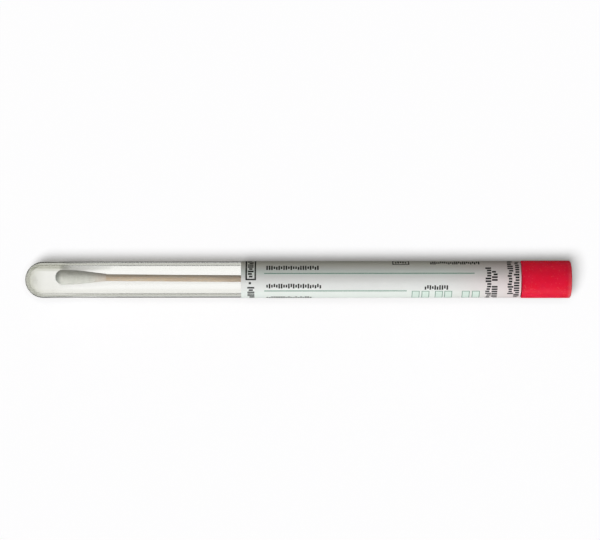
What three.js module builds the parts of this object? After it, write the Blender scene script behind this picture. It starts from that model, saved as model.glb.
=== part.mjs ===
// Specimen swab tube: a round-bottomed clear plastic tube with a paper label wrapped
// round its upper half, closed by a soft lamella stopper. The stopper's socket holds a
// wooden stick with a cotton bud, so stopper, stick and bud draw out of the tube together.
//
// Millimetres, +Z up. The tube lies along X on the plane z = 0: closed end towards -X,
// stopper towards +X. Inside the assembly group, x is measured from the outside of the
// closed end and the tube's axis is y = z = 0.

import * as THREE from 'three';

// ---- Driving dimensions ----------------------------------------------------------

const ROUND_SIDES = 48; // sides of the tube, label and stopper; one flat side faces down
const BUD_SIDES = 32;
const STICK_SIDES = 24;

// Tube: injection-moulded, one even wall, hemispherical end
const TUBE_LENGTH = 165;
const TUBE_DIAMETER = 12;
const TUBE_WALL = 1.1;
const RIM_ROUNDING = 0.25;

// Label: one paper strip, stuck round the tube with its end lapped over its start
const LABEL_LENGTH = 92.7;
const LABEL_THICKNESS = 0.12;
const LABEL_LAP = 2.36; // arc that the strip's end covers of its start
const LABEL_LAP_DIRECTION = 225; // degrees from +Y towards +Z: on the underside
const GLUE_LINE = 0.03; // paper to tube, and paper to paper in the lap
const LABEL_TO_RIM = 0.3; // bare strip of tube below the stopper

// Stopper head: the closed, smooth grip outside the tube
const HEAD_LENGTH = 16.5;
const HEAD_OVERHANG = 0.25; // how far the head stands proud of the tube's wall
const HEAD_END_ROUNDING = 0.6;
const HEAD_SHOULDER_ROUNDING = 0.25;
const HEAD_END_WALL = 1.8;
const SEAT_GAP = 0.1; // shoulder to rim

// Stopper plug: hollow skirt with sealing lamellae, cored round the stick's socket
const PLUG_LENGTH = 12;
const PLUG_WALL = 1.1;
const PLUG_LEAD_IN = 0.8;
const LAMELLA_COUNT = 3;
const LAMELLA_PITCH = 2.7;
const LAMELLA_HEIGHT = 0.4;
const LAMELLA_RAMP = 0.6; // slanted front, which folds back as the plug goes in
const LAMELLA_LAND = 0.3; // cylindrical crest that seals on the bore
const LAMELLA_BACK = 0.2;
const SEAL_CLEARANCE = 0.05; // lamella crest to bore

// Socket in the stopper: sleeve with a blind bore
const SOCKET_WALL = 1.0;
const SOCKET_DEPTH = 9.5;
const SOCKET_LEAD_IN = 0.5;
const SLEEVE_PROUD = 1.2; // sleeve past the end of the plug's skirt
const STICK_CLEARANCE = 0.1;
const STICK_END_GAP = 0.2;

// Swab: wooden stick and wound cotton bud
const STICK_DIAMETER = 2.3;
const STICK_END_CHAMFER = 0.15;
const BUD_DIAMETER = 5;
const BUD_NOSE = 2.7; // length of the rounded nose, up to the widest point
const BUD_TAPER = 14.2; // length of the taper from there onto the stick
const BUD_LEANNESS = 1.4; // 1 tapers as a parabola, more thins it out sooner
const BUD_COVER = 2.6; // cotton in front of the stick's end
const BUD_EDGE = 0.12; // thickness of the last turn of cotton on the stick
const BUD_CLEARANCE = 0.04;
const TIP_TO_BOTTOM = 9; // bud's tip to the inside of the closed end
const BUD_DRIFT = 0.83; // sideways lean of the swab, measured at the bud's widest point

// ---- Sizes that follow from them -------------------------------------------------

const tubeRadius = TUBE_DIAMETER / 2;
const boreRadius = tubeRadius - TUBE_WALL;

const headRadius = tubeRadius + HEAD_OVERHANG;
const shoulderX = TUBE_LENGTH + SEAT_GAP;
const headEndX = shoulderX + HEAD_LENGTH;
const plugEndX = shoulderX - PLUG_LENGTH;
const crestRadius = boreRadius - SEAL_CLEARANCE;
const plugRadius = crestRadius - LAMELLA_HEIGHT;
const skirtBoreRadius = plugRadius - PLUG_WALL;

const stickRadius = STICK_DIAMETER / 2;
const socketRadius = stickRadius + STICK_CLEARANCE;
const sleeveRadius = socketRadius + SOCKET_WALL;
const sleeveEndX = plugEndX - SLEEVE_PROUD;
const socketBottomX = sleeveEndX + SLEEVE_PROUD + SOCKET_DEPTH;

const budTipX = TUBE_WALL + TIP_TO_BOTTOM;
const budWidestX = budTipX + BUD_NOSE;
const budEndX = budWidestX + BUD_TAPER;
const stickStartX = budTipX + BUD_COVER;
const stickEndX = socketBottomX - STICK_END_GAP;

// ---- Profiles: lists of [x, radius], outer walls towards +X, inner walls back ------

function profileArc(centreX, centreRadius, radius, fromDegrees, toDegrees, steps) {
	const points = [];
	for (let i = 0; i <= steps; i++) {
		const angle = THREE.MathUtils.degToRad(fromDegrees + (toDegrees - fromDegrees) * i / steps);
		points.push([
			centreX + radius * Math.cos(angle),
			centreRadius + radius * Math.sin(angle),
		]);
	}
	return points;
}

function endOnAxis(points) {
	return points.map(([x, radius]) => [x, Math.abs(radius) < 1e-9 ? 0 : radius]);
}

// A solid of revolution about X, with one flat side facing down
function revolve(profile, sides) {
	const points = endOnAxis(profile).map(([x, radius]) => new THREE.Vector2(radius, x));
	const geometry = new THREE.LatheGeometry(points, sides, Math.PI / sides);
	geometry.rotateZ(-Math.PI / 2);
	return geometry;
}

function tubeProfile() {
	const rim = TUBE_LENGTH - RIM_ROUNDING;
	return [
		...profileArc(tubeRadius, 0, tubeRadius, 180, 90, 9),
		...profileArc(rim, tubeRadius - RIM_ROUNDING, RIM_ROUNDING, 90, 0, 2),
		...profileArc(rim, boreRadius + RIM_ROUNDING, RIM_ROUNDING, 0, -90, 2),
		...profileArc(tubeRadius, 0, boreRadius, 90, 180, 9),
	];
}

function lamellaeProfile() {
	const points = [];
	const length = LAMELLA_RAMP + LAMELLA_LAND + LAMELLA_BACK;
	const stack = LAMELLA_PITCH * (LAMELLA_COUNT - 1) + length;
	const first = plugEndX + PLUG_LEAD_IN + (PLUG_LENGTH - PLUG_LEAD_IN - stack) / 2;
	for (let i = 0; i < LAMELLA_COUNT; i++) {
		const x = first + i * LAMELLA_PITCH;
		points.push(
			[x, plugRadius],
			[x + LAMELLA_RAMP, crestRadius],
			[x + LAMELLA_RAMP + LAMELLA_LAND, crestRadius],
			[x + length, plugRadius],
		);
	}
	return points;
}

function stopperProfile() {
	const coreEndX = headEndX - HEAD_END_WALL;
	const shoulderArcX = shoulderX + HEAD_SHOULDER_ROUNDING;
	const endArcX = headEndX - HEAD_END_ROUNDING;
	return [
		// blind socket for the stick, and the sleeve round it
		[socketBottomX, 0],
		[socketBottomX, socketRadius],
		[sleeveEndX + SOCKET_LEAD_IN, socketRadius],
		[sleeveEndX, socketRadius + SOCKET_LEAD_IN],
		[sleeveEndX, sleeveRadius],
		// annular core, open towards the tube
		[coreEndX, sleeveRadius],
		[coreEndX, skirtBoreRadius],
		[plugEndX, skirtBoreRadius],
		// skirt, lead-in and lamellae
		[plugEndX, plugRadius - PLUG_LEAD_IN / 2],
		[plugEndX + PLUG_LEAD_IN, plugRadius],
		...lamellaeProfile(),
		[shoulderX, plugRadius],
		// head
		...profileArc(shoulderArcX, headRadius - HEAD_SHOULDER_ROUNDING, HEAD_SHOULDER_ROUNDING, 180, 90, 2),
		...profileArc(endArcX, headRadius - HEAD_END_ROUNDING, HEAD_END_ROUNDING, 90, 0, 4),
		[headEndX, 0],
	];
}

function stickProfile() {
	return [
		[stickStartX, 0],
		[stickStartX, stickRadius - STICK_END_CHAMFER],
		[stickStartX + STICK_END_CHAMFER, stickRadius],
		[stickEndX - STICK_END_CHAMFER, stickRadius],
		[stickEndX, stickRadius - STICK_END_CHAMFER],
		[stickEndX, 0],
	];
}

// Half an ellipse for the nose, then half a cosine wave down to the stick
function budProfile() {
	const noseSteps = 6;
	const taperSteps = 9;
	const widest = BUD_DIAMETER / 2;
	const boreOfBud = stickRadius + BUD_CLEARANCE;
	const thinnest = boreOfBud + BUD_EDGE;
	const points = [];
	for (let i = 0; i <= noseSteps; i++) {
		const angle = Math.PI / 2 * i / noseSteps;
		points.push([budWidestX - BUD_NOSE * Math.cos(angle), widest * Math.sin(angle)]);
	}
	for (let i = 1; i <= taperSteps; i++) {
		const share = i / taperSteps;
		const swell = (1 - share ** 2) ** BUD_LEANNESS;
		points.push([budWidestX + BUD_TAPER * share, thinnest + (widest - thinnest) * swell]);
	}
	points.push(
		[budEndX, boreOfBud],
		[stickStartX - BUD_CLEARANCE, boreOfBud],
		[stickStartX - BUD_CLEARANCE, 0],
	);
	return points;
}

// ---- Label: an open spiral section, extruded along the tube -----------------------

// Radius of the strip's inner face, after so many steps round the tube. The strip lies on
// the tube for one turn, rises in the last two steps, and ends on top of its own start.
function labelInnerRadius(step) {
	const onTube = tubeRadius + GLUE_LINE;
	const onItself = onTube + LABEL_THICKNESS + GLUE_LINE;
	const rise = THREE.MathUtils.clamp((step - (ROUND_SIDES - 2)) / 2, 0, 1);
	return THREE.MathUtils.lerp(onTube, onItself, rise);
}

function labelGeometry() {
	const stepAngle = 2 * Math.PI / ROUND_SIDES;
	const lapSteps = Math.max(1, Math.round(LABEL_LAP / (tubeRadius * stepAngle)));
	const startStep = Math.round(LABEL_LAP_DIRECTION / 360 * ROUND_SIDES) + 0.5;
	const steps = ROUND_SIDES + lapSteps;
	const pointAt = (step, lift) => {
		const angle = (startStep + step) * stepAngle;
		const radius = labelInnerRadius(step) + lift;
		return new THREE.Vector2(radius * Math.cos(angle), radius * Math.sin(angle));
	};
	const outer = [];
	const inner = [];
	for (let step = 0; step <= steps; step++) {
		outer.push(pointAt(step, LABEL_THICKNESS));
		inner.push(pointAt(step, 0));
	}
	const section = new THREE.Shape([...outer, ...inner.reverse()]);
	const geometry = new THREE.ExtrudeGeometry(section, { depth: LABEL_LENGTH, bevelEnabled: false });
	const alongX = new THREE.Matrix4().makeBasis(
		new THREE.Vector3(0, 1, 0),
		new THREE.Vector3(0, 0, 1),
		new THREE.Vector3(1, 0, 0),
	);
	geometry.applyMatrix4(alongX);
	return geometry;
}

// ---- Scene graph -------------------------------------------------------------------

function piece(name, geometry, colour, roughness, extra = {}) {
	const material = new THREE.MeshStandardMaterial({ color: colour, roughness, metalness: 0, ...extra });
	const mesh = new THREE.Mesh(geometry, material);
	mesh.name = name;
	return mesh;
}

const tube = piece('tube', revolve(tubeProfile(), ROUND_SIDES), 0xdfe3da, 0.08, {
	transparent: true,
	opacity: 0.35,
});

const label = piece('label', labelGeometry(), 0xf1f1ee, 0.8);
label.position.x = TUBE_LENGTH - LABEL_TO_RIM - LABEL_LENGTH;

const stopper = piece('stopper', revolve(stopperProfile(), ROUND_SIDES), 0xd3132f, 0.42);

// The stick stands in the middle of its socket and leans, so its geometry is measured
// from the pivot and the group turns about the vertical there.
const socketMiddleX = (plugEndX + socketBottomX) / 2;
const swab = new THREE.Group();
swab.position.x = socketMiddleX;
swab.rotation.z = -Math.atan(BUD_DRIFT / (socketMiddleX - budWidestX));
const stick = piece('swab_stick', revolve(stickProfile(), STICK_SIDES), 0xb59c7c, 0.7);
const bud = piece('cotton_bud', revolve(budProfile(), BUD_SIDES), 0xe9eae4, 0.95);
for (const part of [stick, bud]) {
	part.position.x = -socketMiddleX;
	swab.add(part);
}

const assembly = new THREE.Group();
assembly.position.set(-headEndX / 2, 0, headRadius * Math.cos(Math.PI / ROUND_SIDES));
assembly.add(tube, label, stopper, swab);

const swabTube = new THREE.Group();
swabTube.add(assembly);

export default swabTube;
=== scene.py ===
"""Looks, light and camera of a specimen swab tube that lies on a pale floor.

Lengths in this file are millimetres until a mesh is made, which turns them into metres.
The tube's axis runs along +X. Places along it are measured from the outside of the closed
end, as "along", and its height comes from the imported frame.
"""

import math
import random

import bpy
from mathutils import Matrix, Vector, noise


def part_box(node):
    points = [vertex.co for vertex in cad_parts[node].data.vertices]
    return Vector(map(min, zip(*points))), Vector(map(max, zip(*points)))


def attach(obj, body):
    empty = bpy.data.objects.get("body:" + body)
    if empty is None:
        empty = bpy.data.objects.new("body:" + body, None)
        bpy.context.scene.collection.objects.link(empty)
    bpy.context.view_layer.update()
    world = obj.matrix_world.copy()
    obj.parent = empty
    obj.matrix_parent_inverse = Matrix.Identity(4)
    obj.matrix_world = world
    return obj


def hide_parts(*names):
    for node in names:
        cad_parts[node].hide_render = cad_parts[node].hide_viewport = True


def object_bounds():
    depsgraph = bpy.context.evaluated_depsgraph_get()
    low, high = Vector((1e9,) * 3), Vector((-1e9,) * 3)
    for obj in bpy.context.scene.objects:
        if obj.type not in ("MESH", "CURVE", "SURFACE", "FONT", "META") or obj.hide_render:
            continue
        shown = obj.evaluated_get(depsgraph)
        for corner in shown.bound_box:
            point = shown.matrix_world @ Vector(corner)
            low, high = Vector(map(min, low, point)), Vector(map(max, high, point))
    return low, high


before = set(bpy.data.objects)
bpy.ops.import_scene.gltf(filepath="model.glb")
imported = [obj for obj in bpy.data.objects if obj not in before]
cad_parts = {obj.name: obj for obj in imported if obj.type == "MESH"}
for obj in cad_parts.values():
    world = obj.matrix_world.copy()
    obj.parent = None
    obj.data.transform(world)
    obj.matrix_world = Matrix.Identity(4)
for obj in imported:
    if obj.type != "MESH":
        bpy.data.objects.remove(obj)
cad_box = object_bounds()

MM = 0.001

# ---- Sizes: the frame gives the outlines, and these are the walls and details between them

CAD_SIDES = 48  # the frame's round pieces have this many sides, with a flat one below
TUBE_WALL = 1.1
RIM_ROUNDING = 0.3
LABEL_THICKNESS = 0.12
LABEL_LAP = 2.36
LABEL_LAP_DIRECTION = 225  # degrees from +Y towards +Z
LABEL_RISE = 12  # degrees over which the strip climbs onto its own start
GLUE_LINE = 0.03
PLUG_LENGTH = 12
PLUG_WALL = 1.1
PLUG_LEAD_IN = 0.8
LAMELLA_COUNT = 3
LAMELLA_PITCH = 2.7
LAMELLA_HEIGHT = 0.4
LAMELLA_RAMP = 0.6
LAMELLA_LAND = 0.3
LAMELLA_BACK = 0.2
SEAL_CLEARANCE = 0.05
HEAD_END_WALL = 1.8
HEAD_END_ROUNDING = 0.6
HEAD_SHOULDER_ROUNDING = 0.25
GATE_RADIUS = 0.9
GATE_DEPTH = 0.12
SOCKET_WALL = 1.0
SOCKET_DEPTH = 9.5
SOCKET_LEAD_IN = 0.5
SLEEVE_PROUD = 1.2
STICK_CLEARANCE = 0.1
STICK_END_CHAMFER = 0.15
STICK_BOW = 0.17
BUD_NOSE = 2.7
NOSE_FULLNESS = 2.3  # 2 makes the nose half an ellipse, more makes it blunter
BUD_LEANNESS = 1.4  # 1 tapers as a parabola, more thins it out sooner
BUD_EDGE = 0.12
BUD_CLEARANCE = 0.04


def box_mm(node):
    """A CAD node's lowest and highest corner, in millimetres."""
    low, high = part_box(node)
    return low / MM, high / MM


def round_radius(node):
    """The radius of a CAD node that lies along the tube, at the corners of its sides."""
    low, high = box_mm(node)
    return (high.y - low.y) / 2 / math.cos(math.pi / CAD_SIDES)


tube_low, tube_high = box_mm("tube")
stopper_low, stopper_high = box_mm("stopper")
label_low, label_high = box_mm("label")
bud_low, bud_high = box_mm("cotton_bud")
stick_low, stick_high = box_mm("swab_stick")

TUBE_START = tube_low.x
TUBE_LENGTH = tube_high.x - tube_low.x
TUBE_RADIUS = round_radius("tube")
BORE_RADIUS = TUBE_RADIUS - TUBE_WALL
HEAD_RADIUS = round_radius("stopper")
AXIS_HEIGHT = (tube_low.z + tube_high.z) / 2
HEAD_END = stopper_high.x - TUBE_START
SLEEVE_END = stopper_low.x - TUBE_START
PLUG_END = SLEEVE_END + SLEEVE_PROUD
SHOULDER = PLUG_END + PLUG_LENGTH
SOCKET_BOTTOM = PLUG_END + SOCKET_DEPTH
LABEL_START = label_low.x - TUBE_START
LABEL_LENGTH = label_high.x - label_low.x
PAPER_RADIUS = TUBE_RADIUS + GLUE_LINE + LABEL_THICKNESS

BUD_TIP = bud_low.x - TUBE_START
BUD_RADIUS = (bud_high.z - bud_low.z) / 2
BUD_WIDEST = BUD_TIP + BUD_NOSE
BUD_END = bud_high.x - TUBE_START
BUD_DRIFT = (bud_low.y + bud_high.y) / 2
STICK_START = stick_low.x - TUBE_START
STICK_END = stick_high.x - TUBE_START
STICK_RADIUS = (stick_high.z - stick_low.z) / 2
SOCKET_RADIUS = STICK_RADIUS + STICK_CLEARANCE

# The swab stands in the middle of its socket and leans about the vertical there.
SOCKET_MIDDLE = (PLUG_END + SOCKET_BOTTOM) / 2
SWAB_LEAN = math.atan(BUD_DRIFT / (SOCKET_MIDDLE - BUD_WIDEST))

TUBE_TO_ROW = Matrix.Translation((TUBE_START, 0, AXIS_HEIGHT))
SWAB_TO_ROW = (
    TUBE_TO_ROW
    @ Matrix.Translation((SOCKET_MIDDLE, 0, 0))
    @ Matrix.Rotation(-SWAB_LEAN, 4, "Z")
    @ Matrix.Translation((-SOCKET_MIDDLE, 0, 0))
)


# ---- Meshes ---------------------------------------------------------------------------


def mesh_object(name, points, faces, to_row, smooth_below=35):
    """An object of these points, in millimetres, placed by to_row.

    Edges sharper than smooth_below degrees stay sharp.
    """
    mesh = bpy.data.meshes.new(name)
    placed = [(to_row @ Vector(p)) * MM for p in points]
    mesh.from_pydata(placed, [], faces)
    mesh.validate()
    mesh.shade_smooth()
    mesh.set_sharp_from_angle(angle=math.radians(smooth_below))
    made = bpy.data.objects.new(name, mesh)
    bpy.context.scene.collection.objects.link(made)
    return made


def arc(centre_along, centre_radius, radius, from_degrees, to_degrees, steps):
    """Points (along, radius) of an arc in a profile."""
    points = []
    for i in range(steps + 1):
        angle = math.radians(from_degrees + (to_degrees - from_degrees) * i / steps)
        points.append(
            (
                centre_along + radius * math.cos(angle),
                centre_radius + radius * math.sin(angle),
            )
        )
    return points


def revolve(name, profile, sides, to_row, lift=None, smooth_below=35):
    """A closed solid of revolution about the tube's direction.

    The profile's outer walls run towards +X, and it starts and ends on the axis.
    lift(along, radius, angle) gives a change of radius.
    """
    points, rings = [], []
    for along, radius in profile:
        if radius < 1e-9:
            rings.append([len(points)])
            points.append((along, 0, 0))
            continue
        ring = []
        for i in range(sides):
            angle = 2 * math.pi * i / sides
            r = radius + (lift(along, radius, angle) if lift else 0)
            ring.append(len(points))
            points.append((along, -r * math.sin(angle), r * math.cos(angle)))
        rings.append(ring)
    faces = []
    for a, b in zip(rings, rings[1:]):
        for i in range(sides):
            j = (i + 1) % sides
            if len(a) == 1:
                faces.append((a[0], b[j], b[i]))
            elif len(b) == 1:
                faces.append((a[i], a[j], b[0]))
            else:
                faces.append((a[i], a[j], b[j], b[i]))
    return mesh_object(name, points, faces, to_row, smooth_below)


# ---- Node materials -------------------------------------------------------------------


class Material:
    """A node material with one Principled shader, and short ways to add to its tree."""

    def __init__(self, name, **principled):
        self.material = bpy.data.materials.new(name)
        self.material.use_nodes = True
        self.tree = self.material.node_tree
        self.shader = self.tree.nodes["Principled BSDF"]
        self.output = self.tree.nodes["Material Output"]
        for socket, value in principled.items():
            self.shader.inputs[socket.replace("_", " ")].default_value = value
        self.places = self.add("ShaderNodeTexCoord").outputs["Object"]

    def add(self, kind, settings=None, **inputs):
        """A node with these settings. An input is a value, or a socket to link from."""
        made = self.tree.nodes.new(kind)
        for key, value in (settings or {}).items():
            setattr(made, key, value)
        for key, value in inputs.items():
            self.feed(made.inputs[key.replace("_", " ")], value)
        return made

    def feed(self, socket, value):
        if isinstance(value, bpy.types.NodeSocket):
            self.tree.links.new(value, socket)
        else:
            socket.default_value = value

    def stretched(self, x, y, z):
        """The object's own coordinates, in millimetres, multiplied by these."""
        mapping = self.add("ShaderNodeMapping", Vector=self.places)
        mapping.inputs["Scale"].default_value = (x / MM, y / MM, z / MM)
        return mapping.outputs["Vector"]

    def noise(self, vector, detail=2.0, roughness=0.5):
        """A smooth random value, about one change for each unit of the vector."""
        made = self.add(
            "ShaderNodeTexNoise",
            Vector=vector,
            Scale=1.0,
            Detail=detail,
            Roughness=roughness,
        )
        return made.outputs["Fac"]

    def ranged(self, value, low, high, to_low, to_high):
        """The value's place between low and high, carried over to between the other two."""
        made = self.add("ShaderNodeMapRange", {"clamp": True}, Value=value)
        for key, number in zip(
            ("From Min", "From Max", "To Min", "To Max"), (low, high, to_low, to_high)
        ):
            made.inputs[key].default_value = number
        return made.outputs["Result"]

    def blended(self, factor, a, b):
        """Colour a where the factor is 0 and b where it is 1."""
        made = self.add("ShaderNodeMix", {"data_type": "RGBA"})
        self.feed(made.inputs[0], factor)
        self.feed(made.inputs[6], a)
        self.feed(made.inputs[7], b)
        return made.outputs[2]

    def bump(self, height, strength, distance_mm, below=None):
        made = self.add(
            "ShaderNodeBump", Height=height, Strength=strength, Distance=distance_mm * MM
        )
        if below is not None:
            self.feed(made.inputs["Normal"], below)
        return made.outputs["Normal"]

    def scaled(self, colour, factor):
        made = self.add("ShaderNodeVectorMath", {"operation": "SCALE"})
        self.feed(made.inputs[0], colour)
        self.feed(made.inputs["Scale"], factor)
        return made.outputs["Vector"]

    def maths(self, operation, *values):
        made = self.add("ShaderNodeMath", {"operation": operation})
        for socket, value in zip(made.inputs, values):
            self.feed(socket, value)
        return made.outputs[0]

    def diagonal(self, across, up):
        """How far a place is from where these two are 0."""
        across_squared = self.maths("MULTIPLY", across, across)
        up_squared = self.maths("MULTIPLY", up, up)
        return self.maths("SQRT", self.maths("ADD", across_squared, up_squared))

    def streak(self, value, middle_mm, full_mm, faded_mm, strength):
        """A line where value is close to middle_mm, full so far to each side and then fading."""
        off = self.maths("ABSOLUTE", self.maths("SUBTRACT", value, middle_mm * MM))
        return self.ranged(off, full_mm * MM, faded_mm * MM, strength, 0)

    def set(self, socket, value):
        self.feed(self.shader.inputs[socket], value)


def clear_plastic():
    """Polystyrene: clear, faintly straw-coloured, with flow marks that gather at the closed end."""
    m = Material(
        "clear_plastic",
        Roughness=0.02,
        IOR=1.59,
        Transmission_Weight=1.0,
    )
    flow = m.noise(m.stretched(0.05, 0.35, 0.35), detail=1.0)
    marks = m.noise(m.stretched(0.35, 0.8, 0.8))
    place = m.add("ShaderNodeSeparateXYZ", Vector=m.places)
    end = place.outputs["X"]
    near_end = m.ranged(end, TUBE_START * MM, (TUBE_START + 18) * MM, 0.1, 0.01)
    height = m.maths("MULTIPLY", marks, near_end)
    under = m.bump(flow, 0.15, 0.02)
    m.set("Normal", m.bump(height, 1.0, 0.1, below=under))
    # Painted shade: two dark lines run along the upper half of the wall, a short way from the closed
    # end.
    streaks = m.maths(
        "MULTIPLY",
        m.maths(
            "MAXIMUM",
            m.streak(place.outputs["Y"], 4.77, 0.05, 0.25, 0.75),
            m.streak(place.outputs["Y"], 3.95, 0.1, 0.5, 0.5),
        ),
        m.maths(
            "MULTIPLY",
            m.ranged(place.outputs["Z"], AXIS_HEIGHT * MM, (AXIS_HEIGHT + 0.5) * MM, 0, 1),
            m.ranged(end, (TUBE_START + 12.5) * MM, (TUBE_START + 16) * MM, 1, 0),
        ),
    )
    facing = m.add("ShaderNodeLayerWeight", Blend=0.5).outputs["Facing"]
    # Painted shade: the wall's tint also darkens a little where it slopes away from the view.
    sloping = m.ranged(facing, 0.1, 0.32, 0, 1)
    wall = m.blended(sloping, (0.98, 0.98, 0.967, 1), (0.955, 0.955, 0.93, 1))
    clear = m.blended(streaks, wall, (0.3, 0.31, 0.2, 1))
    # Painted shade: the wall's colour is darker where it is seen edge on, and least so at the very
    # tip, for the dark outline that clear plastic shows.
    edge_on = m.ranged(facing, 0.6, 0.7, 0, 1)
    past_dome = m.ranged(end, (TUBE_START + 16) * MM, (TUBE_START + 32) * MM, 0, 1)
    off_tip = m.ranged(end, (TUBE_START + 0.5) * MM, (TUBE_START + 5) * MM, 0, 1)
    round_dome = m.blended(off_tip, (0.75, 0.76, 0.73, 1), (0.3, 0.31, 0.285, 1))
    dark = m.blended(past_dome, round_dome, (0.02, 0.022, 0.018, 1))
    m.set("Base Color", m.blended(edge_on, clear, dark))
    # Lamps light what is inside, and the curved wall turns light away at its sides.
    let_by = m.blended(
        m.ranged(facing, 0.05, 0.45, 0, 1), (0.98, 0.98, 0.97, 1), (0.25, 0.25, 0.23, 1)
    )
    open_way = m.add("ShaderNodeBsdfTransparent", Color=let_by)
    path = m.add("ShaderNodeLightPath")
    mix = m.add("ShaderNodeMixShader", Fac=path.outputs["Is Shadow Ray"])
    m.feed(mix.inputs[1], m.shader.outputs[0])
    m.feed(mix.inputs[2], open_way.outputs[0])
    m.feed(m.output.inputs["Surface"], mix.outputs[0])
    return m.material


def paper():
    """Uncoated label paper: fine fibres, almost white, with faint tints that run along it."""
    m = Material("label_paper", Specular_IOR_Level=0.2, Roughness=0.8)
    fibres = m.noise(m.stretched(1.2, 4.5, 4.5), detail=3.0)
    clouds = m.noise(m.stretched(0.12, 0.2, 0.2))
    shade = m.blended(
        m.ranged(clouds, 0.3, 0.7, 0, 1), (0.845, 0.865, 0.855, 1), (0.885, 0.9, 0.89, 1)
    )
    # The tints run the strip's whole length: green, green, grey and a warm one. The grey one along
    # the top line and the warm one towards the far edge are painted shade.
    place = m.add("ShaderNodeSeparateXYZ", Vector=m.places)
    side = place.outputs["Y"]
    washed = m.blended(m.ranged(side, -4.4 * MM, -3 * MM, 0.7, 0), shade, (0.87, 0.95, 0.9, 1))
    washed = m.blended(m.streak(side, 2.3, 0.6, 1.6, 0.6), washed, (0.8, 0.9, 0.835, 1))
    washed = m.blended(m.streak(side, 0.3, 0.7, 1.7, 0.6), washed, (0.81, 0.815, 0.805, 1))
    washed = m.blended(m.ranged(side, 3 * MM, 5 * MM, 0, 0.9), washed, (0.87, 0.865, 0.78, 1))
    # Painted light: its end by the stopper is faintly pink and a little darker, for the red light
    # that the stopper throws on it.
    along = place.outputs["X"]
    by_stopper = (TUBE_START + LABEL_START + LABEL_LENGTH) * MM
    red_bounce = m.blended(
        m.ranged(along, by_stopper - 26 * MM, by_stopper, 0, 0.8), washed, (0.8, 0.66, 0.675, 1)
    )
    m.set(
        "Base Color",
        m.blended(m.ranged(fibres, 0.35, 0.75, 0, 0.12), red_bounce, (0.72, 0.72, 0.7, 1)),
    )
    m.set("Roughness", m.ranged(fibres, 0.3, 0.7, 0.72, 0.88))
    m.set("Normal", m.bump(fibres, 0.4, 0.03))
    return m.material


def ink(name, colour, spread):
    """Printing ink that lets the paper's fibres show as small changes of shade."""
    m = Material(name, Specular_IOR_Level=0.25, Roughness=0.6)
    fibres = m.noise(m.stretched(3.0, 6.0, 6.0), detail=3.0)
    lighter = tuple(c + (1 - c) * spread for c in colour)
    m.set(
        "Base Color",
        m.blended(m.ranged(fibres, 0.4, 0.75, 0, 1), (*colour, 1), (*lighter, 1)),
    )
    m.set("Roughness", m.ranged(fibres, 0.3, 0.7, 0.5, 0.75))
    m.set("Normal", m.bump(fibres, 0.3, 0.02))
    return m.material


def red_plastic():
    """Soft polyethylene: satin skin with a fine orange peel and slightly uneven colour."""
    m = Material(
        "red_plastic",
        Specular_IOR_Level=0.14,
        Roughness=0.42,
        Diffuse_Roughness=1.0,
        Subsurface_Weight=0.6,
        Subsurface_Scale=15 * MM,
        Subsurface_Radius=(1.0, 0.08, 0.1),
    )
    clouds = m.noise(m.stretched(0.45, 0.45, 0.45), detail=3.0, roughness=0.65)
    red = m.blended(
        m.ranged(clouds, 0.3, 0.7, 0, 1), (0.94, 0.008, 0.05, 1), (0.98, 0.014, 0.058, 1)
    )
    # Painted glints: fine paler specks are scattered over it.
    specks = m.noise(m.stretched(1.6, 1.6, 1.6), detail=1.0)
    glinted = m.blended(m.ranged(specks, 0.62, 0.72, 0, 0.6), red, (1, 0.1, 0.11, 1))
    # Painted highlight: the edge of the handled end is a little paler, most on the near side, where
    # the light comes from.
    place = m.add("ShaderNodeSeparateXYZ", Vector=m.places)
    head_end = TUBE_START + HEAD_END
    up = m.maths("SUBTRACT", place.outputs["Z"], AXIS_HEIGHT * MM)
    off_axis = m.diagonal(place.outputs["Y"], up)
    edge = m.maths(
        "MULTIPLY",
        m.ranged(place.outputs["X"], (head_end - 1.6) * MM, (head_end - 0.4) * MM, 0, 1),
        m.ranged(off_axis, (HEAD_RADIUS - 1.4) * MM, (HEAD_RADIUS - 0.6) * MM, 0, 1),
    )
    painted_end_highlight = m.maths("MULTIPLY", edge, m.ranged(place.outputs["Y"], -2 * MM, 3 * MM, 0.85, 0.3))
    m.set("Base Color", m.blended(painted_end_highlight, glinted, (1, 0.12, 0.14, 1)))
    peel = m.noise(m.stretched(2.2, 2.2, 2.2))
    m.set("Roughness", m.ranged(peel, 0.3, 0.7, 0.36, 0.52))
    m.set("Normal", m.bump(peel, 0.8, 0.06))
    return m.material


def birch():
    """Pale birch, with long grain, darker vessels and a dry surface."""
    m = Material(
        "stick_wood",
        Specular_IOR_Level=0.25,
        Roughness=0.68,
        Subsurface_Weight=0.4,
        Subsurface_Scale=0.8 * MM,
        Subsurface_Radius=(1.0, 0.75, 0.5),
    )
    grain = m.noise(m.stretched(0.06, 2.4, 2.4), detail=4.0, roughness=0.6)
    vessels = m.noise(m.stretched(0.5, 9.0, 9.0))
    wood = m.blended(
        m.ranged(grain, 0.32, 0.7, 0, 1), (0.51, 0.39, 0.285, 1), (0.73, 0.605, 0.465, 1)
    )
    lined = m.blended(m.ranged(vessels, 0.6, 0.75, 0, 0.5), wood, (0.3, 0.2, 0.13, 1))
    # Painted shadow: the wood is a little darker towards the half that stands in the label, which
    # shades it.
    along = m.add("ShaderNodeSeparateXYZ", Vector=m.places).outputs["X"]
    label = TUBE_START + LABEL_START
    label_shade = m.ranged(along, (label - 14) * MM, (label - 2) * MM, 0, 0.7)
    m.set("Base Color", m.blended(label_shade, lined, (0.38, 0.29, 0.215, 1)))
    m.set("Roughness", m.ranged(grain, 0.3, 0.7, 0.6, 0.8))
    m.set("Normal", m.bump(grain, 0.6, 0.06))
    return m.material


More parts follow.
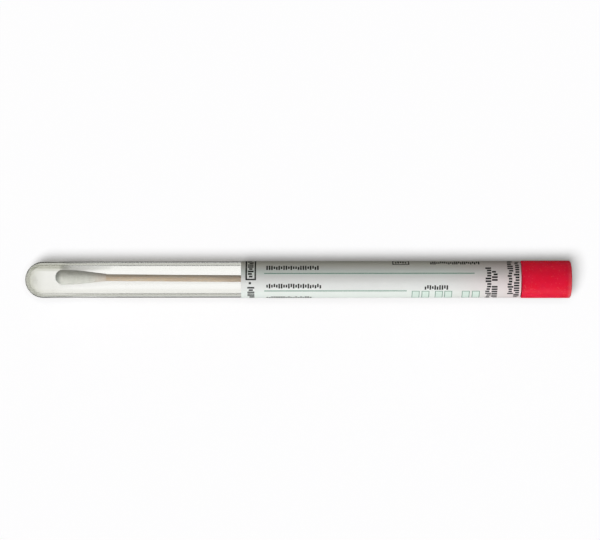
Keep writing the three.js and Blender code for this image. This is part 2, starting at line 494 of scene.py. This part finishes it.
def cotton():
    """Wound cotton wool: matt, with fine fibres that run round the bud."""
    m = Material(
        "cotton",
        Specular_IOR_Level=0.1,
        Roughness=0.95,
        Sheen_Weight=0.25,
        Sheen_Roughness=0.6,
    )
    strands = m.noise(m.stretched(5.0, 1.0, 1.0), detail=4.0, roughness=0.7)
    tufts = m.noise(m.stretched(0.8, 0.8, 0.8), detail=3.0)
    white = m.blended(
        m.ranged(tufts, 0.3, 0.7, 0, 1), (0.7, 0.71, 0.66, 1), (0.82, 0.83, 0.78, 1)
    )
    thready = m.blended(m.ranged(strands, 0.3, 0.6, 0.3, 0), white, (0.5, 0.51, 0.47, 1))
    along = m.add("ShaderNodeSeparateXYZ", Vector=m.places).outputs["X"]
    # Painted shade: the nose is a darker, greener grey, for the light that the closed end turns away
    # from it.
    nose_to = (TUBE_START + BUD_TIP + 2.2) * MM
    nose = m.ranged(along, (TUBE_START + BUD_TIP) * MM, nose_to, 1, 0)
    nose_shade = m.blended(nose, thready, (0.11, 0.15, 0.125, 1))
    # The last turns are thin enough for the wood to show through.
    thin_from = (TUBE_START + BUD_END - 6) * MM
    thin = m.ranged(along, thin_from, (TUBE_START + BUD_END) * MM, 0, 0.75)
    worn = m.blended(thin, nose_shade, (0.66, 0.53, 0.45, 1))
    # Loose fluff shows as pale specks.
    specks = m.noise(m.stretched(2.2, 2.2, 2.2), detail=1.0)
    m.set(
        "Base Color",
        m.blended(m.ranged(specks, 0.64, 0.72, 0, 0.6), worn, (0.93, 0.93, 0.91, 1)),
    )
    m.set("Normal", m.bump(strands, 0.6, 0.08))
    return m.material


# ---- Tube -----------------------------------------------------------------------------


FLOW_REACH = 28  # how far the flow lines run from the closed end
FLOW_HEIGHT = 0.05


def make_tube():
    """The moulded shell. Faint flow lines run from its closed end and die out along the wall."""
    rim = TUBE_LENGTH - RIM_ROUNDING
    steps = 22
    wall = [TUBE_RADIUS + (FLOW_REACH - TUBE_RADIUS) * i / steps for i in range(1, steps + 1)]
    profile = [
        *arc(TUBE_RADIUS, 0, TUBE_RADIUS, 180, 90, 32),
        *[(along, TUBE_RADIUS) for along in wall],
        *arc(rim, TUBE_RADIUS - RIM_ROUNDING, RIM_ROUNDING, 90, 0, 5),
        *arc(rim, BORE_RADIUS + RIM_ROUNDING, RIM_ROUNDING, 0, -90, 5),
        *[(along, BORE_RADIUS) for along in reversed(wall)],
        *arc(TUBE_RADIUS, 0, BORE_RADIUS, 90, 180, 32),
    ]

    def flow_lines(along, radius, angle):
        near_end = max(0, 1 - along / FLOW_REACH)
        off_pole = min(1, radius / 2)
        side = 40 if radius > (TUBE_RADIUS + BORE_RADIUS) / 2 else 0
        around = Vector((side + along * 0.06, 4 * math.cos(angle), 4 * math.sin(angle)))
        return FLOW_HEIGHT * near_end * off_pole * noise.noise(around)

    made = revolve("tube_shell", profile, 256, TUBE_TO_ROW, lift=flow_lines)
    made.data.materials.append(clear_plastic())
    made.visible_diffuse = False  # no bright spots on the floor from light it would focus
    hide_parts("tube")
    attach(made, "tube_body")
    return made


# ---- Label and its print --------------------------------------------------------------


def make_label():
    """The strip as one open spiral with square-cut edges: one turn, a short rise and a lap."""
    turn_steps = 240
    step = 360 / turn_steps
    lap_degrees = math.degrees(LABEL_LAP / TUBE_RADIUS)
    steps = turn_steps + round(lap_degrees / step)
    on_tube = TUBE_RADIUS + GLUE_LINE
    on_itself = on_tube + LABEL_THICKNESS + GLUE_LINE
    corner_count = 4
    ends = (LABEL_START, LABEL_START + LABEL_LENGTH)
    points, faces = [], []
    for i in range(steps + 1):
        rise = min(max((i * step - (360 - LABEL_RISE)) / LABEL_RISE, 0), 1)
        rise = rise * rise * (3 - 2 * rise)
        inner = on_tube + (on_itself - on_tube) * rise
        angle = math.radians(LABEL_LAP_DIRECTION + i * step)
        for along, radius in (
            (ends[0], inner),
            (ends[0], inner + LABEL_THICKNESS),
            (ends[1], inner + LABEL_THICKNESS),
            (ends[1], inner),
        ):
            points.append((along, radius * math.cos(angle), radius * math.sin(angle)))
        if i:
            a, b = (i - 1) * corner_count, i * corner_count
            for k in range(corner_count):
                n = (k + 1) % corner_count
                faces.append((a + k, b + k, b + n, a + n))
    last = steps * corner_count
    faces.append(tuple(range(corner_count)))
    faces.append(tuple(reversed(range(last, last + corner_count))))
    made = mesh_object("label_paper_wrap", points, faces, TUBE_TO_ROW)
    made.data.materials.append(paper())
    made.visible_diffuse = False
    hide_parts("label")
    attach(made, "tube_body")
    return made


INK_PROUD = 0.012
INK_SUNK = 0.01
BAR_SHARE = 0.66


def wrapped_print(name, patches, material):
    """Thin patches of ink on the label, each (along from, along to, round from, round to).

    "Along" starts at the label's edge at the closed end, and "round" at the tube's top line,
    from where it runs towards -Y.
    """
    points, faces = [], []
    for along_from, along_to, round_from, round_to in patches:
        count = max(1, math.ceil(abs(round_to - round_from) / 0.25))
        base = len(points)
        for i in range(count + 1):
            angle = (round_from + (round_to - round_from) * i / count) / PAPER_RADIUS
            for along, radius in (
                (along_from, PAPER_RADIUS - INK_SUNK),
                (along_from, PAPER_RADIUS + INK_PROUD),
                (along_to, PAPER_RADIUS + INK_PROUD),
                (along_to, PAPER_RADIUS - INK_SUNK),
            ):
                points.append(
                    (LABEL_START + along, -radius * math.sin(angle), radius * math.cos(angle))
                )
        for i in range(count):
            a, b = base + 4 * i, base + 4 * (i + 1)
            for k in range(4):
                n = (k + 1) % 4
                faces.append((a + k, a + n, b + n, b + k))
        faces.append((base + 3, base + 2, base + 1, base))
        end = base + 4 * count
        faces.append((end, end + 1, end + 2, end + 3))
    made = mesh_object(name, points, faces, TUBE_TO_ROW)
    made.data.materials.append(material)
    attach(made, "tube_body")
    return made


def frame_patches(along_from, along_to, round_from, round_to, line):
    """The four sides of an outlined box."""
    return [
        (along_from, along_to, round_from, round_from + line),
        (along_from, along_to, round_to - line, round_to),
        (along_from, along_from + line, round_from + line, round_to - line),
        (along_to - line, along_to, round_from + line, round_to - line),
    ]


def bar_reach(rng):
    """How far one bar of a code reaches across its strip: full, from one side, or short."""
    return rng.choice(((0, 1), (0, 1), (0, 0.72), (0.28, 1), (0.2, 0.8)))


def code_row(rng, along_from, along_to, round_from, round_to, pitch):
    """A row of plain bars along the tube, in place of small print."""
    patches = []
    along = along_from
    tall = round_to - round_from
    while along + pitch * BAR_SHARE < along_to:
        low, high = bar_reach(rng)
        end = along + pitch * BAR_SHARE
        patches.append((along, end, round_from + low * tall, round_from + high * tall))
        along += pitch
    return patches


def code_column(rng, along_from, along_to, round_from, round_to, pitch):
    """A row of plain bars round the tube, in place of bold print."""
    patches = []
    place = round_from
    tall = along_to - along_from
    while place + pitch * BAR_SHARE < round_to:
        low, high = bar_reach(rng)
        end = place + pitch * BAR_SHARE
        patches.append((along_from + low * tall, along_from + high * tall, place, end))
        place += pitch
    return patches


def make_print():
    rng = random.Random(7)
    black, green, mint = [], [], []
    # outlined block and bold column at the label's start
    black += frame_patches(1.5, 5.0, -9.2, 0.2, 0.5)
    black += code_column(rng, 2.3, 4.2, -8.5, -0.3, 0.9)
    black += [(2.6, 3.35, 0.8, 1.55)]
    black += code_column(rng, 2.1, 4.4, 2.5, 9.3, 0.9)
    # captions of the writing lines
    black += code_row(rng, 8.4, 25.9, -5.15, -3.35, 0.8)
    black += code_row(rng, 8.4, 27.0, 1.4, 3.05, 0.8)
    black += code_row(rng, 8.4, 23.8, 7.1, 9.3, 0.8)
    # writing lines
    green += [(7.7, 77.3, -2.25, -1.93), (7.7, 54.9, 3.86, 4.24)]
    # small outlined mark and small print near the top line
    black += frame_patches(50.2, 55.8, -8.6, -5.6, 0.36)
    black += code_row(rng, 51.1, 55.2, -7.8, -6.4, 0.8)
    black += code_row(rng, 62.8, 79.5, -7.8, -5.8, 0.66)
    # date boxes in three pairs, with their caption
    black += code_row(rng, 60.8, 69.2, 1.95, 3.6, 0.8)
    for first, second in ((56.6, 59.85), (64.3, 67.4), (73.2, 76.55)):
        for along in (first, second):
            green += frame_patches(along, along + 2.55, 4.1, 8.3, 0.22)
            mint += [(along + 0.22, along + 2.33, 4.32, 8.08)]
    # bold columns by the stopper
    black += code_column(rng, 80.9, 82.8, -4.3, 9.2, 0.92)
    black += code_column(rng, 83.0, 84.9, -2.9, 0.6, 0.92)
    black += code_column(rng, 83.0, 84.9, 2.2, 9.2, 0.92)
    black += code_column(rng, 88.2, 90.1, -8.8, 6.2, 0.92)
    black += code_column(rng, 90.3, 92.1, -7.4, 8.6, 0.92)
    wrapped_print("print_black", black, ink("ink_black", (0.012, 0.012, 0.013), 0.04))
    wrapped_print("print_green", green, ink("ink_green", (0.17, 0.32, 0.25), 0.15))
    wrapped_print("print_mint", mint, ink("ink_mint", (0.75, 0.88, 0.81), 0.1))


# ---- Stopper --------------------------------------------------------------------------


def lamella_points():
    """The sealing lamellae, evenly spaced on the plug behind its lead-in."""
    crest = BORE_RADIUS - SEAL_CLEARANCE
    root = crest - LAMELLA_HEIGHT
    length = LAMELLA_RAMP + LAMELLA_LAND + LAMELLA_BACK
    stack = LAMELLA_PITCH * (LAMELLA_COUNT - 1) + length
    first = PLUG_END + PLUG_LEAD_IN + (PLUG_LENGTH - PLUG_LEAD_IN - stack) / 2
    points = []
    for i in range(LAMELLA_COUNT):
        start = first + i * LAMELLA_PITCH
        points += [
            (start, root),
            (start + LAMELLA_RAMP, crest),
            (start + LAMELLA_RAMP + LAMELLA_LAND, crest),
            (start + length, root),
        ]
    return points


def make_stopper():
    root = BORE_RADIUS - SEAL_CLEARANCE - LAMELLA_HEIGHT
    skirt_bore = root - PLUG_WALL
    sleeve = SOCKET_RADIUS + SOCKET_WALL
    core_end = HEAD_END - HEAD_END_WALL
    end_arc = HEAD_END - HEAD_END_ROUNDING
    shoulder_arc = SHOULDER + HEAD_SHOULDER_ROUNDING
    profile = [
        (SOCKET_BOTTOM, 0),
        (SOCKET_BOTTOM, SOCKET_RADIUS),
        (SLEEVE_END + SOCKET_LEAD_IN, SOCKET_RADIUS),
        (SLEEVE_END, SOCKET_RADIUS + SOCKET_LEAD_IN),
        (SLEEVE_END, sleeve),
        (core_end, sleeve),
        (core_end, skirt_bore),
        (PLUG_END, skirt_bore),
        (PLUG_END, root - PLUG_LEAD_IN / 2),
        (PLUG_END + PLUG_LEAD_IN, root),
        *lamella_points(),
        (SHOULDER, root),
        *arc(shoulder_arc, HEAD_RADIUS - HEAD_SHOULDER_ROUNDING, HEAD_SHOULDER_ROUNDING, 180, 90, 5),
        *arc(end_arc, HEAD_RADIUS - HEAD_END_ROUNDING, HEAD_END_ROUNDING, 90, 0, 10),
        (HEAD_END, GATE_RADIUS),
        (HEAD_END - GATE_DEPTH, GATE_RADIUS - GATE_DEPTH),
        (HEAD_END - GATE_DEPTH, 0),
    ]
    made = revolve("stopper_moulding", profile, 192, TUBE_TO_ROW, smooth_below=25)
    made.data.materials.append(red_plastic())
    made.visible_diffuse = False
    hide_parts("stopper")
    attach(made, "swab_body")
    return made


# ---- Swab -----------------------------------------------------------------------------


def make_stick():
    profile = [
        (STICK_START, 0),
        (STICK_START, STICK_RADIUS - STICK_END_CHAMFER),
        (STICK_START + STICK_END_CHAMFER, STICK_RADIUS),
        (STICK_END - STICK_END_CHAMFER, STICK_RADIUS),
        (STICK_END, STICK_RADIUS - STICK_END_CHAMFER),
        (STICK_END, 0),
    ]
    steps = 60
    start, end = profile[2][0], profile[3][0]
    middle = [(start + (end - start) * i / steps, STICK_RADIUS) for i in range(1, steps)]
    profile = profile[:3] + middle + profile[3:]

    def planed(along, _radius, angle):
        """The slight flats and waves of a turned stick, and its gentle bow between bud and socket."""
        share = (along - BUD_WIDEST) / (SLEEVE_END - BUD_WIDEST)
        bow = STICK_BOW * math.sin(math.pi * min(max(share, 0), 1))
        around = Vector((along * 0.05, 2 * math.cos(angle), 2 * math.sin(angle)))
        return bow * math.sin(angle) - 0.02 * (0.5 + 0.5 * noise.noise(around))

    made = revolve("birch_stick", profile, 48, SWAB_TO_ROW, lift=planed)
    made.data.materials.append(birch())
    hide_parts("swab_stick")
    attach(made, "swab_body")
    return made


def bud_radius(along):
    """The bud's outline: a blunt round nose, then a lean parabola to the stick."""
    thinnest = STICK_RADIUS + BUD_EDGE
    if along < BUD_WIDEST:
        share = (BUD_WIDEST - along) / BUD_NOSE
        return BUD_RADIUS * max(0, 1 - share**NOSE_FULLNESS) ** (1 / NOSE_FULLNESS)
    share = (along - BUD_WIDEST) / (BUD_END - BUD_WIDEST)
    return thinnest + (BUD_RADIUS - thinnest) * (1 - share * share) ** BUD_LEANNESS


def make_bud():
    nose_steps, taper_steps = 24, 70
    nose = [
        BUD_WIDEST - BUD_NOSE * math.cos(math.pi / 2 * i / nose_steps)
        for i in range(nose_steps + 1)
    ]
    taper = [
        BUD_WIDEST + (BUD_END - BUD_WIDEST) * i / taper_steps
        for i in range(1, taper_steps + 1)
    ]
    profile = [(along, bud_radius(along)) for along in nose + taper]
    inside = STICK_RADIUS + BUD_CLEARANCE
    bottom = STICK_START - BUD_CLEARANCE
    profile += [(BUD_END, inside), (bottom, inside), (bottom, 0)]

    def wound(along, radius, angle):
        """Soft ridges that wind round the bud, and small tufts."""
        if radius < STICK_RADIUS + 0.1:
            return 0
        winding = math.sin(angle + along * 2.4)
        across, up = radius * math.cos(angle), radius * math.sin(angle)
        tuft = noise.noise(Vector((along * 0.9, across * 0.9, up * 0.9)))
        depth = min(1, (radius - STICK_RADIUS) / 0.8)
        return depth * (-0.03 + 0.02 * winding + 0.05 * tuft)

    made = revolve("cotton_wad", profile, 128, SWAB_TO_ROW, lift=wound, smooth_below=60)
    made.data.materials.append(cotton())
    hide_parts("cotton_bud")
    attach(made, "swab_body")
    return made


# ---- Floor, light and camera ----------------------------------------------------------


PICTURE_WIDTH = 200  # what the camera sees at the tube's axis
CAMERA_HEIGHT = 730  # above the tube's axis
AIM = (0.75, 3.17)  # the picture's middle, from the object's middle
CAMERA_ROLL = -0.05  # degrees
FLOOR_GAP = 0.01
FLOOR_HEIGHT = AXIS_HEIGHT - HEAD_RADIUS - FLOOR_GAP
FLOOR_SIZE = 3000
FLOOR_LIT = 1.35  # how much of the lamps' light the floor shows, and then what it adds itself
FLOOR_GLOW = 0.319
CONTACT_REACH = 4.6  # how far round the object it keeps the room's light off the floor
CONTACT_DEPTH = 0.85  # the share of that light which it keeps off where they touch
BACKING_LIT = 0.75
BACKING_GLOW = 0.32
LAMP_SHARE = 0.68  # what the lamp behind the bud adds to the backing
SHADE_FADES = (7, 22)  # where the bud's shade on the backing fades, from the dome's centre
SHADE_LEFT = 0.3  # the share of it that is left past there
SHADE_PATCH_EDGE = (9.25, 10.9)  # where the painted grey shade beside the tube starts, and is grey all through
SHADE_PATCH_FADE = (14, 18)  # where it thins out again
SHADE_PATCH_MIDDLE = -0.7  # the line that it lies round, a little to the near side of the axis
DOME_CENTRE = TUBE_START + TUBE_RADIUS
ROOM_LEVEL = 0.05  # how bright the room is to light that bounces off matt surfaces
ROOM_REFLECTED = 0.6  # how far reflections see the room as white


def stage_plane(name, material):
    mesh = bpy.data.meshes.new(name)
    reach = FLOOR_SIZE / 2 * MM
    corners = [(-reach, -reach, 0), (reach, -reach, 0), (reach, reach, 0), (-reach, reach, 0)]
    mesh.from_pydata(corners, [], [(0, 1, 2, 3)])
    mesh.materials.append(material)
    plane = bpy.data.objects.new(name, mesh)
    plane.location.z = FLOOR_HEIGHT * MM
    bpy.context.scene.collection.objects.link(plane)
    return plane


def lit_and_glowing(m, shown, colour, lit, glow):
    """Where shown is 1, the plain shader gives way to a matt one with a share of its own light."""
    matt = m.add("ShaderNodeBsdfDiffuse", Color=m.scaled(colour, lit))
    glowing = m.add("ShaderNodeEmission", Color=colour, Strength=glow)
    both = m.add("ShaderNodeAddShader")
    m.feed(both.inputs[0], matt.outputs[0])
    m.feed(both.inputs[1], glowing.outputs[0])
    mix = m.add("ShaderNodeMixShader", Fac=shown)
    m.feed(mix.inputs[1], m.shader.outputs[0])
    m.feed(mix.inputs[2], both.outputs[0])
    m.feed(m.output.inputs["Surface"], mix.outputs[0])


def make_floor():
    """A pale floor. To the camera it is white and keeps the object's shadow."""
    m = Material("floor_white", Roughness=1.0, Specular_IOR_Level=0.0)
    path = m.add("ShaderNodeLightPath")
    plain = m.blended(path.outputs["Is Glossy Ray"], (0.6, 0.6, 0.6, 1), (0.2, 0.2, 0.18, 1))
    m.set("Base Color", plain)
    white = m.add("ShaderNodeRGB")
    white.outputs[0].default_value = (1, 1, 1.02, 1)
    # The object keeps some of the room's light off the floor close round it.
    near = m.add("ShaderNodeAmbientOcclusion", {"samples": 16}, Distance=CONTACT_REACH * MM)
    open_share = m.ranged(near.outputs["AO"], 0, 1, 1 - CONTACT_DEPTH, 1)
    glow = m.maths("MULTIPLY", open_share, FLOOR_GLOW)
    lit_and_glowing(m, path.outputs["Is Camera Ray"], white.outputs[0], FLOOR_LIT, glow)
    floor = stage_plane("floor", m.material)
    floor.visible_transmission = False
    return floor


def make_backing():
    """The floor as clear plastic shows it: white, with painted grey shade that marks the plastic's
    edges.
    """
    m = Material("backing_white", Roughness=1.0, Specular_IOR_Level=0.0)
    m.set("Base Color", (0.6, 0.6, 0.6, 1))
    parts = m.add("ShaderNodeSeparateXYZ", Vector=m.places)
    along = m.maths("SUBTRACT", parts.outputs["X"], DOME_CENTRE * MM)
    past_end = m.maths("MINIMUM", along, 0.0)
    side = parts.outputs["Y"]
    outward = m.diagonal(past_end, m.maths("SUBTRACT", side, SHADE_PATCH_MIDDLE * MM))
    # The painted shade lies, in turn: all round the tube, under the dome, on the near side, and by
    # the bud's far side.
    shade_patches = [
        m.maths(
            "MULTIPLY",
            m.ranged(outward, SHADE_PATCH_EDGE[0] * MM, SHADE_PATCH_EDGE[1] * MM, 0, 1),
            m.ranged(outward, SHADE_PATCH_FADE[0] * MM, SHADE_PATCH_FADE[1] * MM, 1, 0.35),
        ),
        m.maths(
            "MULTIPLY",
            m.ranged(past_end, -9.5 * MM, 0, 1, 0.26),
            m.ranged(along, 3 * MM, 9 * MM, 1, 0),
        ),
        m.ranged(side, -4.5 * MM, -3.5 * MM, 0.15, 0),
        m.maths(
            "MULTIPLY",
            m.ranged(side, 2.6 * MM, 3.9 * MM, 0, 0.7),
            m.ranged(along, 5.5 * MM, 8.5 * MM, 1, 0),
        ),
    ]
    shade_mask = shade_patches[0]
    for shade_patch in shade_patches[1:]:
        shade_mask = m.maths("MAXIMUM", shade_mask, shade_patch)
    shade = m.blended(shade_mask, (1, 1, 1, 1), (0.55, 0.555, 0.495, 1))
    # Its own light takes over from the lamp's along the tube, which fades the bud's shadow.
    fade = [place * MM for place in SHADE_FADES]
    last_glow = BACKING_GLOW + (1 - SHADE_LEFT) * LAMP_SHARE
    lit = m.ranged(along, *fade, BACKING_LIT, SHADE_LEFT * BACKING_LIT)
    glow = m.ranged(along, *fade, BACKING_GLOW, last_glow)
    lit_and_glowing(m, seen_through(m.tree), shade, lit, glow)
    backing = stage_plane("backing", m.material)
    backing.visible_camera = False
    backing.visible_diffuse = False
    backing.visible_glossy = False
    backing.visible_shadow = False
    return backing


def seen_through(tree):
    """1 for what the camera sees through clear plastic, and 0 for light that gets in there."""
    path = tree.nodes.new("ShaderNodeLightPath")
    direct = tree.nodes.new("ShaderNodeMath")
    direct.operation = "LESS_THAN"
    direct.inputs[1].default_value = 0.5
    tree.links.new(path.outputs["Diffuse Depth"], direct.inputs[0])
    both = tree.nodes.new("ShaderNodeMath")
    both.operation = "MULTIPLY"
    tree.links.new(path.outputs["Is Transmission Ray"], both.inputs[0])
    tree.links.new(direct.outputs[0], both.inputs[1])
    return both.outputs[0]


def make_world():
    """A room that is white to the camera, less so in reflections and nearly dark to the rest."""
    world = bpy.data.worlds.new("studio")
    bpy.context.scene.world = world
    world.use_nodes = True
    tree = world.node_tree
    background = tree.nodes["Background"]
    colour = tree.nodes.new("ShaderNodeMix")
    colour.data_type = "RGBA"
    colour.inputs[6].default_value = (1, 0.96, 0.75, 1)
    colour.inputs[7].default_value = (1, 1, 1, 1)
    tree.links.new(colour.outputs[2], background.inputs["Color"])
    path = tree.nodes.new("ShaderNodeLightPath")
    shown = tree.nodes.new("ShaderNodeMath")
    shown.operation = "MAXIMUM"
    tree.links.new(path.outputs["Is Camera Ray"], shown.inputs[0])
    tree.links.new(seen_through(tree), shown.inputs[1])
    strength = tree.nodes.new("ShaderNodeMapRange")
    strength.inputs["To Min"].default_value = ROOM_LEVEL
    strength.inputs["To Max"].default_value = 1.0
    reflected = tree.nodes.new("ShaderNodeMath")
    reflected.operation = "MULTIPLY_ADD"
    reflected.use_clamp = True
    reflected.inputs[1].default_value = ROOM_REFLECTED
    tree.links.new(path.outputs["Is Glossy Ray"], reflected.inputs[0])
    tree.links.new(shown.outputs[0], reflected.inputs[2])
    tree.links.new(reflected.outputs[0], strength.inputs["Value"])
    tree.links.new(shown.outputs[0], colour.inputs[0])
    tree.links.new(strength.outputs["Result"], background.inputs["Strength"])


def soft_lamp(name, lean_front, lean_side, spread, level, shadow=True):
    """A distant lamp. It leans so many degrees from straight above towards -Y, and towards -X.

    Spread is how wide it looks, in degrees, and level is what a white surface that faces it
    renders as.
    """
    front, side = math.radians(lean_front), math.radians(lean_side)
    way = Vector((-math.tan(side), -math.tan(front), 1)).normalized()
    data = bpy.data.lights.new(name, "SUN")
    data.angle = math.radians(spread)
    data.energy = level * math.pi
    data.use_shadow = shadow
    lamp = bpy.data.objects.new(name, data)
    lamp.location = way
    lamp.rotation_mode = "QUATERNION"
    lamp.rotation_quaternion = way.to_track_quat("Z", "Y")
    # Light that the plastic would bend is let straight through it instead, by its material.
    lamp.visible_transmission = False
    lamp.visible_glossy = False
    bpy.context.scene.collection.objects.link(lamp)
    return lamp


def group(name, things, left_out=False):
    """A collection for a lamp: it reaches these things only, or all but these."""
    made = bpy.data.collections.new(name)
    for thing in things:
        made.objects.link(thing)
    for entry in made.collection_objects:
        entry.light_linking.link_state = "EXCLUDE" if left_out else "INCLUDE"
    return made


def make_lights(stopper, bud, floor, backing):
    make_world()
    key = soft_lamp("key", 17, 15, 30, 0.48)
    key.light_linking.receiver_collection = group("not_backing", [backing], left_out=True)
    fill = soft_lamp("front_fill", 62, 8, 40, 0.46, shadow=False)
    stage = [floor, backing]
    fill.light_linking.receiver_collection = group("not_stage", stage, left_out=True)
    sheen = soft_lamp("stopper_sheen", 82, 8, 40, 0.22, shadow=False)
    sheen.visible_diffuse = False
    sheen.visible_glossy = True
    rim = soft_lamp("stopper_rim", -50, 8, 40, 0.1, shadow=False)
    stopper_only = group("stopper_only", [stopper])
    for lamp in (sheen, rim):
        lamp.light_linking.receiver_collection = stopper_only
    # Clear plastic shows the bud's soft shadow beside it.
    behind = soft_lamp("behind_bud", 42, 10, 12, 1.2)
    behind.light_linking.receiver_collection = group("backing_only", [backing])
    behind.light_linking.blocker_collection = group("bud_only", [bud])


def make_camera():
    """Straight above the tube, far enough off for a slight perspective only."""
    data = bpy.data.cameras.new("camera")
    data.sensor_width = 36
    data.lens = data.sensor_width * CAMERA_HEIGHT / PICTURE_WIDTH
    data.clip_start, data.clip_end = 0.01, 10
    camera = bpy.data.objects.new("camera", data)
    middle = (cad_box[0] + cad_box[1]) / 2
    camera.location = Vector(
        (middle.x + AIM[0] * MM, middle.y + AIM[1] * MM, (AXIS_HEIGHT + CAMERA_HEIGHT) * MM)
    )
    camera.rotation_euler.z = math.radians(CAMERA_ROLL)
    bpy.context.scene.collection.objects.link(camera)
    bpy.context.scene.camera = camera


make_tube()
make_label()
make_print()
stopper = make_stopper()
make_stick()
bud = make_bud()
make_lights(stopper, bud, make_floor(), make_backing())
make_camera()

bpy.context.scene.view_settings.view_transform = "Standard"
